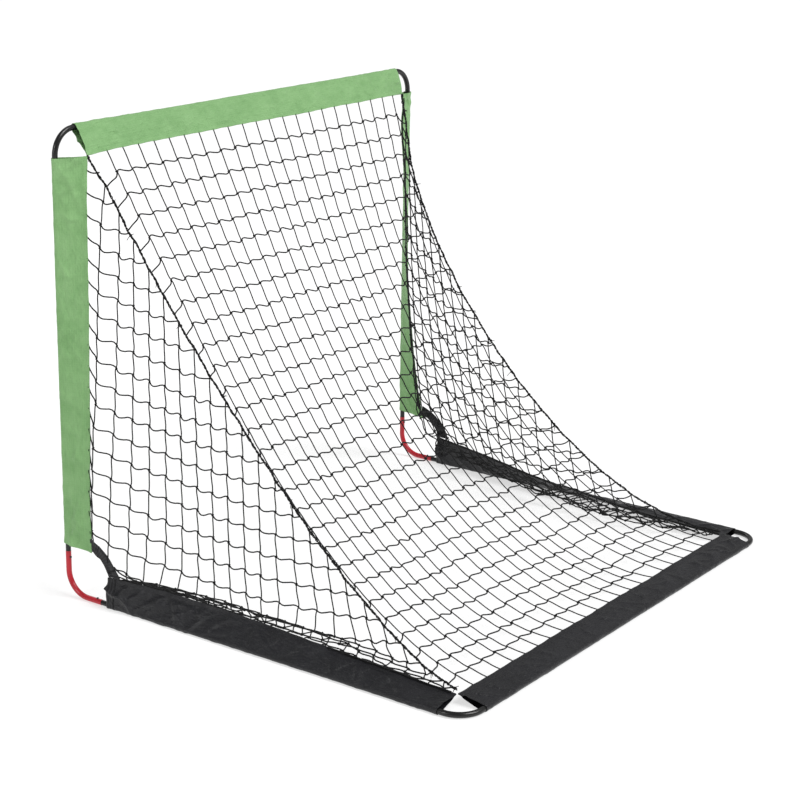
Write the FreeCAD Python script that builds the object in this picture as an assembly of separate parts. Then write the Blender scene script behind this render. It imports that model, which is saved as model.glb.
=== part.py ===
import FreeCAD, Part
import math
import os

# Portable goal: a push-together steel tube frame, cloth sleeves round its bars, and a net.
# Origin on the floor at the middle of the base. +Z is up and the mouth faces -Y.
# Millimetres.

V = FreeCAD.Vector
X, Y, Z = V(1, 0, 0), V(0, 1, 0), V(0, 0, 1)
SIDES = (("left", -1), ("right", 1))

# Frame, between tube centrelines
WIDTH = 1370.0
HEIGHT = 1117.0
DEPTH = 1150.0
BASE_Z = 8.0

# Tubes and elbows
TUBE_OD = 12.7
ELBOW_OD = 13.5
WALL = 0.9
ELBOW_LEG = 107.0  # from the corner where the centrelines cross to the elbow's end
BEND_RADIUS = 59.0
SPIGOT_OD = 11.4
SPIGOT_LENGTH = 28.0
END_GAP = 0.3  # between an elbow's end and the tube's shoulder

# Snap buttons and their leaf springs, in the frame of one tube joint
BUTTON_SETBACK = 15.0  # from the elbow's end back to the button
BUTTON_RADIUS = 2.5
BUTTON_HOLE_RADIUS = 2.8
BUTTON_PROUD = 2.4
FLANGE_RADIUS = 3.2
FLANGE_THICKNESS = 0.8
FLANGE_BOTTOM = 2.4
LEAF_WIDTH = 5.0
LEAF_THICKNESS = 0.5

# Cloth sleeves: a loop round the tube that tapers to a sewn edge
TOP_LOOP_RADIUS = 8.2
POST_LOOP_RADIUS = 9.6  # room for the snap buttons under the cloth
BASE_LOOP_RADIUS = 7.2
CLOTH = 1.0
FLAP = 70.0  # from the tube's centreline to the sewn edge
HEM = 12.0
TOP_GAP = 62.0  # from a top corner to the sleeves' ends
FRONT_GAP = 128.0  # the same at the front bottom corners
REAR_GAP = 69.0  # the same at the rear corners
TOP_FLAP_ANGLE = 52.0  # below level, towards the back
REAR_FLAP_ANGLE = 12.0  # above level, towards the mouth

SLEEVE_STEPS = 6  # along a sleeve that twists

# How the side flaps twist, by side, at each third of their length. The left ones are turned
# further inwards.
POST_FLAP_ANGLES = {  # from inwards round to the back, from bottom to top
    -1: (86.0, 51.0, 35.0, 12.0),
    1: (90.0, 77.0, 63.0, 50.0),
}
RAIL_FLAP_ANGLES = {  # from inwards up to upright, from front to back
    -1: (90.0, 44.0, 16.0, 5.0),
    1: (90.0, 54.0, 28.0, 12.0),
}

# Net, as thin sheets, and the lacing cords along their shared edges
NET = 1.0
NET_GAP = 4.0  # from the sleeves' sewn edges and the lacing's centreline to the sheets
NET_SAG = 12.0  # how far the middle of the back net hangs below its edges
SIDE_NET_STEPS = 8  # along each of the post and the rail
LACING_RADIUS = 1.5
LACING_STEPS = 24
LACING_END = 6.0  # from the sleeves' edges to the lacing's ends, along each axis
LACING_BENDS = ((469.0, -476.0, 719.0), (493.0, 127.0, 27.0))  # its curve's two inner poles
CLEAR = 1.0

# Binding bands across the front bottom corners
BAND_WIDTH = 26.0
BAND_THICKNESS = 1.6
BAND_REACH = 38.0  # how far the band's lower end runs back past the rail sleeve's front
BAND_BOW = 0.11  # how far the band bows towards the back, as a share of its length

TOP_Z = BASE_Z + HEIGHT
FRONT_Y = -DEPTH / 2
REAR_Y = DEPTH / 2

os.makedirs("parts", exist_ok=True)


def save(node, shape):
    shape.exportStep(f"parts/{node}.step")


def placed(shape, origin, along, facing):
    """A shape drawn along +X with its top towards +Z, put at origin along another direction."""
    side = facing.cross(along)
    place = FreeCAD.Placement(
        FreeCAD.Matrix(
            along.x, side.x, facing.x, origin.x,
            along.y, side.y, facing.y, origin.y,
            along.z, side.z, facing.z, origin.z,
            0, 0, 0, 1,
        )
    )
    moved = shape.copy()
    moved.Placement = place * shape.Placement
    return moved


def face_of(edges):
    return Part.Face(Part.Wire(Part.sortEdges(edges)[0]))


def polygon_face(points):
    return Part.Face(Part.makePolygon([*points, points[0]]))


# ---- Tube joints -------------------------------------------------------------------------


def elbow_legs(side, sign):
    """For each elbow of one side: its corner, and its two legs as (tube, along, facing)."""
    inwards, x = X * -sign, sign * WIDTH / 2
    return {
        "front": (V(x, FRONT_Y, BASE_Z), (("post", Z, Y), ("rail", Y, Z))),
        "top": (V(x, FRONT_Y, TOP_Z), (("post", -Z, Y), ("bar", inwards, -Z))),
        "rear": (V(x, REAR_Y, BASE_Z), (("rail", -Y, inwards), ("bar", inwards, -Y))),
    }


def elbow(corner, legs):
    """A tube bent through a right angle, with a button hole near each end."""
    radii = (ELBOW_OD / 2, ELBOW_OD / 2 - WALL)
    circles = [Part.Wire(Part.makeCircle(r, V(BEND_RADIUS, 0, 0), X)) for r in radii]
    ring = Part.makeFace(circles, "Part::FaceMakerBullseye")
    straight = ELBOW_LEG - BEND_RADIUS
    bend = ring.revolve(V(BEND_RADIUS, 0, BEND_RADIUS), Y, 90)
    upper_ring = ring.rotated(V(BEND_RADIUS, 0, BEND_RADIUS), Y, 90)
    tube = bend.fuse([ring.extrude(X * straight), upper_ring.extrude(Z * straight)]).removeSplitter()
    tube = placed(tube, corner, legs[0][1], legs[1][1])
    for _, along, facing in legs:
        start = corner + along * (ELBOW_LEG - BUTTON_SETBACK)
        tube = tube.cut(Part.makeCylinder(BUTTON_HOLE_RADIUS, ELBOW_OD, start, facing))
    return tube


def joint_of(corner, leg):
    """Where a leg's tube joint is: its origin on the elbow's end, and its two directions."""
    _, along, facing = leg
    return corner + along * ELBOW_LEG, along, facing


def straight_tube(start, end):
    """A tube between two joints, with a swaged spigot and a button hole at each end."""
    origin, along, facing = start
    length = (end[0] - origin).Length
    radius, spigot, step = TUBE_OD / 2, SPIGOT_OD / 2, (TUBE_OD - SPIGOT_OD) / 2
    outline = [
        (-SPIGOT_LENGTH, spigot), (END_GAP, spigot), (END_GAP, radius),
        (length - END_GAP, radius), (length - END_GAP, spigot),
        (length + SPIGOT_LENGTH, spigot), (length + SPIGOT_LENGTH, spigot - WALL),
        (length - 2 * step, spigot - WALL), (length - 4 * step, radius - WALL),
        (4 * step, radius - WALL), (2 * step, spigot - WALL), (-SPIGOT_LENGTH, spigot - WALL),
    ]
    section = polygon_face([V(x, 0, z) for x, z in outline])
    tube = placed(section.revolve(V(0, 0, 0), X, 360), origin, along, facing)
    for place, outwards, face in (start, end):
        hole = place - outwards * BUTTON_SETBACK
        tube = tube.cut(Part.makeCylinder(BUTTON_HOLE_RADIUS, TUBE_OD, hole, face))
    return tube


def button():
    """A domed pin on a flange, standing in the tube's hole."""
    top, dome = ELBOW_OD / 2 + BUTTON_PROUD, 1.0
    shoulder = V(BUTTON_RADIUS, 0, top - dome)
    crown = V(BUTTON_RADIUS - dome, 0, top)
    middle = V(BUTTON_RADIUS - dome * (1 - math.sqrt(0.5)), 0, top - dome * (1 - math.sqrt(0.5)))
    flange_top = FLANGE_BOTTOM + FLANGE_THICKNESS
    foot = Part.makePolygon([
        crown, V(0, 0, top), V(0, 0, FLANGE_BOTTOM), V(FLANGE_RADIUS, 0, FLANGE_BOTTOM),
        V(FLANGE_RADIUS, 0, flange_top), V(BUTTON_RADIUS, 0, flange_top), shoulder,
    ]).Edges
    section = face_of([*foot, Part.Arc(shoulder, middle, crown).toShape()])
    return section.revolve(V(0, 0, 0), Z, 360).translated(X * -BUTTON_SETBACK)


def leaf_spring():
    """A V of spring strip inside the tube, its upper leg under the button's flange."""
    under = FLANGE_BOTTOM - LEAF_THICKNESS / 2 - 0.05
    strip = [
        V(-19.0, 0, under), V(-11.0, 0, under), V(9.5, 0, -0.6),
        V(10.6, 0, -1.3), V(9.5, 0, -2.0), V(-19.0, 0, -3.7),
    ]
    runs = [(b - a).normalize() for a, b in zip(strip, strip[1:])]
    upper, lower = [], []
    for point, before, after in zip(strip, [runs[0], *runs], [*runs, runs[-1]]):
        mitre = (before + after).normalize().cross(Y)
        mitre *= LEAF_THICKNESS / 2 / mitre.dot(before.cross(Y))
        upper.append(point + mitre - Y * (LEAF_WIDTH / 2))
        lower.append(point - mitre - Y * (LEAF_WIDTH / 2))
    return polygon_face(upper + lower[::-1]).extrude(Y * LEAF_WIDTH)


joints = {}
for side, sign in SIDES:
    for level, (corner, legs) in elbow_legs(side, sign).items():
        save(f"{level}_elbow_{side}", elbow(corner, legs))
        for leg in legs:
            joints[f"{level}_{side}_{leg[0]}"] = joint_of(corner, leg)

for name, joint in joints.items():
    save(f"button_{name}", placed(button(), *joint))
    save(f"spring_{name}", placed(leaf_spring(), *joint))

save("top_bar", straight_tube(joints["top_left_bar"], joints["top_right_bar"]))
save("rear_bar", straight_tube(joints["rear_left_bar"], joints["rear_right_bar"]))
for side, _ in SIDES:
    save(f"post_{side}", straight_tube(joints[f"front_{side}_post"], joints[f"top_{side}_post"]))
    save(f"side_rail_{side}", straight_tube(joints[f"front_{side}_rail"], joints[f"rear_{side}_rail"]))

# ---- Sleeves -----------------------------------------------------------------------------


def direction(first, second, angle):
    """The direction that is angle degrees from first towards second."""
    a = math.radians(angle)
    return first * math.cos(a) + second * math.sin(a)


def teardrop(radius, tip, half_tip):
    """The section of a cloth loop: round the tube, then straight to its sewn edge."""
    turn = math.atan2(half_tip, tip) + math.acos(radius / math.hypot(tip, half_tip))
    upper = V(0, radius * math.cos(turn), radius * math.sin(turn))
    lower = V(0, upper.y, -upper.z)
    sewn_edge = [V(0, tip, -half_tip), V(0, tip, half_tip)] if half_tip else [V(0, tip, 0)]
    round_part = Part.Arc(upper, V(0, -radius, 0), lower).toShape()
    return Part.Wire([round_part, *Part.makePolygon([lower, *sewn_edge, upper]).Edges])


def twist(angles, share):
    """The angle at a share of a sleeve's length: the cubic through the four angles."""
    total = 0
    for i, angle in enumerate(angles):
        others = [k for k in range(4) if k != i]
        total += angle * math.prod((3 * share - k) / (i - k) for k in others)
    return total


def twisting(first, second, angles):
    """The flap's directions along a sleeve that twists."""
    return [direction(first, second, twist(angles, i / SLEEVE_STEPS)) for i in range(SLEEVE_STEPS + 1)]


def cloth_sleeve(start, end, loop_radius, flaps):
    """A hollow sleeve from start to end, whose flap points along each of flaps in turn."""
    along = (end - start).normalize()
    share = 1 / (len(flaps) - 1)

    def lofted(section):
        wires = [
            placed(section, start + (end - start) * (i * share), along, along.cross(flap))
            for i, flap in enumerate(flaps)
        ]
        return Part.makeLoft(wires, True, True)

    cloth = lofted(teardrop(loop_radius + CLOTH, FLAP, CLOTH))
    cloth = cloth.cut(lofted(teardrop(loop_radius, FLAP - HEM, 0)))
    floor = Part.makeBox(2 * WIDTH, 2 * DEPTH, BASE_Z, V(-WIDTH, -DEPTH, -BASE_Z))
    return cloth.cut(floor)


def post_sleeve(sign):
    x, inwards = sign * WIDTH / 2, X * -sign
    low, high = V(x, FRONT_Y, BASE_Z + FRONT_GAP), V(x, FRONT_Y, TOP_Z - TOP_GAP)
    return cloth_sleeve(low, high, POST_LOOP_RADIUS, twisting(inwards, Y, POST_FLAP_ANGLES[sign]))


def side_sleeve(sign):
    x, inwards = sign * WIDTH / 2, X * -sign
    front, rear = V(x, FRONT_Y + FRONT_GAP, BASE_Z), V(x, REAR_Y - REAR_GAP, BASE_Z)
    return cloth_sleeve(front, rear, BASE_LOOP_RADIUS, twisting(inwards, Z, RAIL_FLAP_ANGLES[sign]))


def bar_sleeve(y, z, gap, loop_radius, flap):
    reach = WIDTH / 2 - gap
    return cloth_sleeve(V(-reach, y, z), V(reach, y, z), loop_radius, [flap, flap])


top_flap = direction(Y, -Z, TOP_FLAP_ANGLE)
rear_flap = direction(-Y, Z, REAR_FLAP_ANGLE)
save("top_sleeve", bar_sleeve(FRONT_Y, TOP_Z, TOP_GAP, TOP_LOOP_RADIUS, top_flap))
save("rear_sleeve", bar_sleeve(REAR_Y, BASE_Z, REAR_GAP, BASE_LOOP_RADIUS, rear_flap))
for side, sign in SIDES:
    save(f"post_sleeve_{side}", post_sleeve(sign))
    save(f"side_sleeve_{side}", side_sleeve(sign))

# ---- Net ---------------------------------------------------------------------------------


def post_edge(sign, share):
    """The sewn edge of a post sleeve, at a share of the way up it."""
    low, high = BASE_Z + FRONT_GAP, TOP_Z - TOP_GAP
    flap = direction(X * -sign, Y, twist(POST_FLAP_ANGLES[sign], share))
    return V(sign * WIDTH / 2, FRONT_Y, low + (high - low) * share) + flap * FLAP


def rail_edge(sign, share):
    """The sewn edge of a side sleeve, at a share of the way back along it."""
    front, rear = FRONT_Y + FRONT_GAP, REAR_Y - REAR_GAP
    flap = direction(X * -sign, Z, twist(RAIL_FLAP_ANGLES[sign], share))
    return V(sign * WIDTH / 2, front + (rear - front) * share, BASE_Z) + flap * FLAP


top_corner = V(WIDTH / 2 - TOP_GAP, FRONT_Y, TOP_Z) + top_flap * FLAP
rear_corner = V(WIDTH / 2 - REAR_GAP, REAR_Y, BASE_Z) + rear_flap * FLAP
lacing_poles = [
    top_corner + V(-LACING_END, LACING_END, -LACING_END),
    *[V(*bend) for bend in LACING_BENDS],
    rear_corner + V(-LACING_END, -LACING_END, LACING_END),
]
lacing = Part.BezierCurve()
lacing.setPoles(lacing_poles)


def mirrored(point, sign):
    return V(sign * point.x, point.y, point.z)


def lacing_cord(sign):
    """A cord of short straight runs along the edge that the back and side nets share."""
    sections = []
    for i in range(LACING_STEPS + 1):
        at, tangent = lacing.value(i / LACING_STEPS), V(lacing.tangent(i / LACING_STEPS)[0])
        across = tangent.cross(X).normalize()
        beside = tangent.cross(across).normalize()
        corners = [direction(across, beside, 60 * k) * LACING_RADIUS + at for k in range(6)]
        corners = [mirrored(corner, sign) for corner in corners]
        sections.append(Part.makePolygon([*corners, corners[0]]))
    return Part.makeLoft(sections, True, True)


def back_net():
    """A sheet from the top sleeve to the rear sleeve, drawn in and down between its ends."""
    surface = Part.BezierSurface()
    surface.increase(3, 2)
    for i, pole in enumerate(lacing_poles, start=1):
        edge = pole - X * NET_GAP
        surface.setPole(i, 1, mirrored(edge, -1))
        surface.setPole(i, 2, V(0, edge.y - NET_SAG, edge.z - NET_SAG))
        surface.setPole(i, 3, edge)
    return surface.toShape().extrude(V(0, -NET, -NET))


def band_edges(sign):
    """The lower and upper edges of a corner band, each from the post down to the rail."""
    x = sign * WIDTH / 2
    post, rail = post_edge(sign, 0), rail_edge(sign, 0)
    lower = V(x, post.y + CLEAR, post.z), V(x, rail.y + CLEAR, rail.z + CLEAR)
    upper = (
        V(x, post.y + CLEAR, post.z + BAND_WIDTH),
        V(x, rail.y + BAND_REACH, rail.z + CLEAR),
    )
    return lower, upper


def band_middle(start, end):
    """The middle of a band's edge, which bows up and towards the back."""
    chord = end - start
    return (start + end) / 2 + V(0, -chord.z, chord.y) * BAND_BOW


def corner_band(sign):
    edges = []
    for start, end in band_edges(sign):
        edges.append(Part.Arc(start, band_middle(start, end), end).toShape())
    for end in (0, -1):
        edges.append(Part.makeLine(*[edge.Vertexes[end].Point for edge in edges[:2]]))
    return face_of(edges).extrude(X * -sign * BAND_THICKNESS)


def side_net(sign):
    """A sheet of straight rulings, from the lacing to the post, the corner band and the rail."""
    above_band = V(0, NET_GAP, NET_GAP)
    upper = band_edges(sign)[1]
    band_top, band_rear = [end + above_band for end in upper]
    steps = [i / SIDE_NET_STEPS for i in range(1, SIDE_NET_STEPS + 1)]
    hem = [
        *[post_edge(sign, step) for step in reversed(steps)],
        band_top,
        band_middle(*upper) + above_band * 2,
        band_rear,
        *[rail_edge(sign, step) for step in steps],
    ]
    sections = []
    for i, sewn in enumerate(hem):
        laced = mirrored(lacing.value(i / (len(hem) - 1)), sign)
        gap = (laced - sewn).normalize() * NET_GAP
        ends = [sewn + gap, laced - gap]
        inner = [end - X * sign * NET for end in ends]
        sections.append(Part.makePolygon([*ends, *inner[::-1], ends[0]]))
    return Part.makeLoft(sections, True, True)


save("back_net", back_net())
for side, sign in SIDES:
    save(f"side_net_{side}", side_net(sign))
    save(f"lacing_cord_{side}", lacing_cord(sign))
    save(f"corner_band_{side}", corner_band(sign))
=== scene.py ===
import math

import bpy
import numpy as np
from mathutils import Matrix, Vector, noise


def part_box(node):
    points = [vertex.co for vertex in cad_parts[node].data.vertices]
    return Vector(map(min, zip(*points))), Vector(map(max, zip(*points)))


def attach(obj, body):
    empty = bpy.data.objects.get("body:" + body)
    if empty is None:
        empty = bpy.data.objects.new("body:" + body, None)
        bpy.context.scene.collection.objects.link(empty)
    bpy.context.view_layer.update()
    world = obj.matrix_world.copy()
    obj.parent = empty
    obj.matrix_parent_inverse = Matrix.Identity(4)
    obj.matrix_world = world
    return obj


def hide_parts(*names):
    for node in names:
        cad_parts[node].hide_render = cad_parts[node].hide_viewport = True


# Looks for the portable street hockey goal. Metres, in the CAD frame: +Z up, the mouth faces -Y.

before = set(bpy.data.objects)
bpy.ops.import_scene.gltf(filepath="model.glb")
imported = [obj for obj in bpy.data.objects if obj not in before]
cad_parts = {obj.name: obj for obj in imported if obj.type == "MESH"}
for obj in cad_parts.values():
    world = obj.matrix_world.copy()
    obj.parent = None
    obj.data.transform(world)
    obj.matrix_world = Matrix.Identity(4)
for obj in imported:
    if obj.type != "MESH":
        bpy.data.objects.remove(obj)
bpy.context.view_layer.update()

SIDES = (("left", -1), ("right", 1))
X, Y, Z = np.eye(3)

# Sleeves
MOUTH_LOOP_RADIUS, BASE_LOOP_RADIUS = 0.0080, 0.0071  # of the cloth round the tube
FLAP = 0.070  # from the tube's centreline to the sewn edge
HEM = 0.011  # from the sewn edge to the stitching
CLOTH_THICKNESS = 0.0006
TOP_FLAP_ANGLE = 52.0  # below level, towards the back
REAR_FLAP_ANGLE = 12.0  # above level, towards the mouth
# Flap angles by side, at each third of a sleeve's length
POST_FLAP_ANGLES = {  # from inwards round to the back, from bottom to top
    -1: (86.0, 51.0, 35.0, 12.0),
    1: (90.0, 77.0, 63.0, 50.0),
}
RAIL_FLAP_ANGLES = {  # from inwards up to upright, from front to back
    -1: (90.0, 44.0, 16.0, 5.0),
    1: (90.0, 54.0, 28.0, 12.0),
}
STITCH_PITCH = 0.0042
ALONG_STEP = 0.0058  # between the cloth's points along a sleeve

# Folds and creases: height, and how often they come along and across their own direction
LONG_FOLDS = 0.0038, (2.6, 24.0, 1.0)
DOWN_CREASES, DOWN_SHARPNESS = (0.0042, (5.5, 24.0, 1.0)), 6.5
UP_CREASES, UP_SHARPNESS = (0.0048, (9.0, 21.0, 1.0)), 7.0
SMALL_CREASES = 0.0006, (42.0, 55.0, 1.0)
DOWN_SLANT = np.array([[1, 0.75, 0], [-0.75, 1, 0], [0, 0, 1]])
UP_SLANT = np.array([[0.6, -0.8, 0], [0.8, 0.6, 0], [0, 0, 1]])
END_GATHER, END_REACH = 0.9, 0.16  # more creases near a sleeve's ends
FRONT_REACH = 0.42  # of the extra crinkles at the front of the side sleeves
SIDE_CRINKLE = 1.1
POST_LOW_PULL = np.array([0.0, 0.006, -0.011])  # the net's pull on the post sleeves' low corners
OUTWARDS = -1  # the sign that makes the end binding's cross product point out of the sleeve

# Nets and lacing
LACING_BENDS = ((0.469, -0.476, 0.719), (0.493, 0.127, 0.027))
LACING_END = 0.006
BACK_COLUMNS, BACK_ROWS = 23, 28  # cells across and down the back net
COLUMN_LENGTH = 1.546  # of each down-going strand of the back net
SIDE_ROW_PITCH, SIDE_COLUMN_PITCH = 0.053, 0.050
ROW_RADIUS, BACK_COLUMN_RADIUS, SIDE_COLUMN_RADIUS = 0.0018, 0.0015, 0.0016
ROW_TILT, COLUMN_TILT = 0.0038, 0.0026  # how far a knot's turn carries its strands to the side
STRAND_STEPS = (0, 0.06, 0.14, 0.27, 0.42, 0.58, 0.73, 0.86, 0.94, 1)  # points on a strand
FLOOR_CLEAR = 0.0022
BACK_SETTLE, SIDE_SETTLE, QUICK_SETTLE = 160, 220, 10  # steps of hanging
DRAG, FALL, CORRECTIONS, GAIN, LEAST_SHARE = 0.96, 0.00006, 14, 1.5, 0.35
PILE_REACH = 0.30  # how far the side nets' folds reach from the rail before they lie on the floor
BAND_WIDTH, BAND_REACH, BAND_BOW = 0.026, 0.038, 0.11
BAND_THICKNESS, BAND_ROWS, BAND_COLUMNS = 0.0014, 26, 9
LACING_POINTS = 1100
LACING_STRANDS = ((0.0014, 0.021, 0.0014), (0.0014, 0.021, 0.0014), (0.0023, 0.048, 0.0012))
TIE_TURNS, TIE_RADIUS, TIE_LENGTH, TIE_CORD = 3.2, 0.0031, 0.006, 0.0010


# ---- Small geometry helpers ----------------------------------------------------------------


def centre(node):
    low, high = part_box(node)
    return np.array((low + high) / 2)


def reach(node, axis):
    """The lowest and highest value of a node's box along one axis."""
    low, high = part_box(node)
    return low[axis], high[axis]


def unit(vectors):
    return vectors / np.maximum(np.linalg.norm(vectors, axis=-1, keepdims=True), 1e-12)


def turned(first, second, degrees):
    """The direction that is some degrees from first towards second."""
    a = np.radians(np.asarray(degrees))[..., None]
    return np.cos(a) * first + np.sin(a) * second


def mirrored(points, sign):
    return np.asarray(points) * np.array([sign, 1, 1])


def bezier(poles, t):
    """Points of a cubic curve."""
    t = np.atleast_1d(t)[:, None]
    weights = ((1 - t) ** 3, 3 * (1 - t) ** 2 * t, 3 * (1 - t) * t**2, t**3)
    return sum(w * np.asarray(pole) for w, pole in zip(weights, poles))


def even_curve(points):
    """A function from a share of the length, 0 to 1, to the point there on a polyline."""
    run = np.concatenate([[0], np.cumsum(np.linalg.norm(np.diff(points, axis=0), axis=1))])
    run /= run[-1]
    return lambda share: np.stack([np.interp(share, run, points[:, k]) for k in range(3)], -1)


def noise_at(points, seed):
    """Smooth noise from about -1 to 1 at each of an array of points."""
    shift = Vector((seed * 17.3, seed * 5.1, seed * 9.7))
    flat = np.asarray(points, float).reshape(-1, 3)
    values = [noise.noise(Vector(p) + shift) for p in flat]
    return np.array(values).reshape(np.shape(points)[:-1])


def make_piece(name, points, face_sets, corner_uvs, material):
    """A smooth-shaded mesh object from arrays of points, faces and UVs for every corner."""
    mesh = bpy.data.meshes.new(name)
    corners = np.concatenate([faces.ravel() for faces in face_sets])
    sizes = np.concatenate([np.full(len(faces), faces.shape[1]) for faces in face_sets])
    starts = np.concatenate([[0], np.cumsum(sizes)[:-1]])
    mesh.vertices.add(len(points))
    mesh.vertices.foreach_set("co", np.asarray(points, np.float32).ravel())
    mesh.loops.add(len(corners))
    mesh.loops.foreach_set("vertex_index", corners.astype(np.int32))
    mesh.polygons.add(len(sizes))
    mesh.polygons.foreach_set("loop_start", starts.astype(np.int32))
    mesh.polygons.foreach_set("use_smooth", np.ones(len(sizes), bool))
    mesh.uv_layers.new(name="UVMap").data.foreach_set("uv", np.asarray(corner_uvs, np.float32).ravel())
    mesh.update(calc_edges=True)
    mesh.validate()
    mesh.materials.append(material)
    piece = bpy.data.objects.new(name, mesh)
    bpy.context.scene.collection.objects.link(piece)
    return piece


def grid_faces(rows, columns, closed):
    """The quads of a grid of points, and each corner's place as (row, column)."""
    i, j = np.meshgrid(np.arange(rows - 1), np.arange(columns if closed else columns - 1), indexing="ij")
    places = np.stack([(i, j), (i + 1, j), (i + 1, j + 1), (i, j + 1)], -1).reshape(2, -1, 4)
    quads = places[0] * columns + places[1] % columns
    return quads, np.moveaxis(places, 0, -1)


def sweep(paths, radii, sides, closed=False, reference=None):
    """Round tubes along many equal-length paths: points, face sets and corner UVs."""
    paths = np.asarray(paths, float)
    count, steps = paths.shape[:2]
    tangent = np.roll(paths, -1, 1) - np.roll(paths, 1, 1)
    if not closed:
        tangent[:, 0] = paths[:, 1] - paths[:, 0]
        tangent[:, -1] = paths[:, -1] - paths[:, -2]
    tangent = unit(tangent)
    if reference is None:
        reference = np.eye(3)[np.argmin(np.abs(tangent).mean(1), axis=1)]
    across = unit(np.cross(tangent, reference[:, None]))
    beside = np.cross(across, tangent)
    angle = np.arange(sides) * 2 * np.pi / sides
    ring = np.cos(angle)[:, None] * across[:, :, None] + np.sin(angle)[:, None] * beside[:, :, None]
    radii = np.broadcast_to(np.asarray(radii, float), (count, steps))
    points = paths[:, :, None] + ring * radii[:, :, None, None]
    quads, places = grid_faces(steps + 1 if closed else steps, sides, True)
    quads = quads % (steps * sides)
    offsets = (np.arange(count) * steps * sides)[:, None, None]
    length = np.linalg.norm(np.diff(paths, axis=1), axis=2).sum(1) / (steps - 1)
    u = places[None, :, :, 0] * length[:, None, None]
    v = np.broadcast_to(places[None, :, :, 1] / sides, u.shape)
    face_sets = [(quads + offsets).reshape(-1, 4)]
    uvs = [np.stack([u, v], -1).reshape(-1, 2)]
    if not closed:
        first = np.arange(sides)[::-1]
        caps = np.stack([first, np.arange(sides) + (steps - 1) * sides])
        face_sets.append((caps + offsets).reshape(-1, sides))
        uvs.append(np.zeros((count * 2 * sides, 2)))
    return points.reshape(-1, 3), face_sets, uvs


def joined(name, parts, material):
    """One piece from several sweeps."""
    points, quad_sets, uvs, total = [], [], [], 0
    for part_points, face_sets, part_uvs in parts:
        points.append(part_points)
        quad_sets += [faces + total for faces in face_sets]
        uvs += part_uvs
        total += len(part_points)
    return make_piece(name, np.concatenate(points), quad_sets, np.concatenate(uvs), material)


def dressed(piece, slot, *nodes):
    """Fixes a piece to the goal's frame and hides the CAD nodes that it stands for; the slot, its
    finish, is not used.
    """
    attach(piece, "goal")
    if nodes:
        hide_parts(*nodes)
    return piece


# ---- Materials -----------------------------------------------------------------------------


class Shader:
    """A new material's node tree, with short ways to add and join nodes."""

    def __init__(self, name):
        self.material = bpy.data.materials.new(name)
        self.material.use_nodes = True
        self.tree = self.material.node_tree
        self.surface = self.tree.nodes["Principled BSDF"]

    def add(self, kind, **settings):
        node = self.tree.nodes.new(kind)
        for key, value in settings.items():
            if hasattr(node, key):
                setattr(node, key, value)
            else:
                node.inputs[key.replace("_", " ")].default_value = value
        return node

    def link(self, output, node, name):
        self.tree.links.new(output, node.inputs[name])

    def set(self, **values):
        for key, value in values.items():
            self.surface.inputs[key.replace("_", " ")].default_value = value

    def coordinates(self, output, scale, turn=0.0):
        place = self.add("ShaderNodeTexCoord")
        mapping = self.add("ShaderNodeMapping")
        mapping.inputs["Scale"].default_value = scale
        mapping.inputs["Rotation"].default_value = (0, 0, math.radians(turn))
        self.link(place.outputs[output], mapping, "Vector")
        return mapping.outputs["Vector"]

    def noise(self, vector, scale, detail=3.0, roughness=0.5):
        node = self.add("ShaderNodeTexNoise", Scale=scale, Detail=detail, Roughness=roughness)
        self.link(vector, node, "Vector")
        return node.outputs["Fac"]

    def wave(self, vector, scale, direction="X", distortion=0.0):
        node = self.add(
            "ShaderNodeTexWave", bands_direction=direction, Scale=scale, Distortion=distortion
        )
        self.link(vector, node, "Vector")
        return node.outputs["Fac"]

    def ramp(self, value, stops):
        node = self.add("ShaderNodeValToRGB")
        elements = node.color_ramp.elements
        while len(elements) < len(stops):
            elements.new(0.5)
        for element, (position, colour) in zip(elements, stops):
            element.position = position
            element.color = (*colour, 1)
        self.link(value, node, "Fac")
        return node.outputs["Color"]

    def range(self, value, low, high):
        node = self.add("ShaderNodeMapRange")
        node.inputs["To Min"].default_value = low
        node.inputs["To Max"].default_value = high
        self.link(value, node, "Value")
        return node.outputs["Result"]

    def maths(self, operation, first, second):
        node = self.add("ShaderNodeMath", operation=operation)
        self.tree.links.new(first, node.inputs[0])
        if isinstance(second, float):
            node.inputs[1].default_value = second
        else:
            self.tree.links.new(second, node.inputs[1])
        return node.outputs["Value"]

    def bump(self, height, distance, strength=1.0, before=None):
        node = self.add("ShaderNodeBump", Distance=distance, Strength=strength)
        self.link(height, node, "Height")
        if before is not None:
            self.link(before, node, "Normal")
        return node.outputs["Normal"]

    def finish(self, colour=None, roughness=None, normal=None):
        for value, name in ((colour, "Base Color"), (roughness, "Roughness"), (normal, "Normal")):
            if value is not None:
                self.link(value, self.surface, name)
        return self.material


def paint(name, dark, light, rub):
    """Glossy powder coat with a fine orange peel and faint rubbed patches."""
    s = Shader(name)
    s.set(Coat_Weight=0.1, Coat_Roughness=0.1, Specular_IOR_Level=0.4)
    place = s.coordinates("Object", (1, 1, 1))
    patches = s.noise(place, 9.0, 5.0, 0.6)
    peel = s.noise(place, 700.0, 2.0)
    scuffs = s.noise(s.coordinates("Object", (1, 1, 0.15)), 160.0, 4.0, 0.7)
    colour = s.ramp(patches, [(0.3, dark), (0.62, light), (0.86, rub)])
    roughness = s.range(s.maths("MULTIPLY", patches, scuffs), 0.2, 0.62)
    return s.finish(colour, roughness, s.bump(peel, 0.0002, 0.25))


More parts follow.
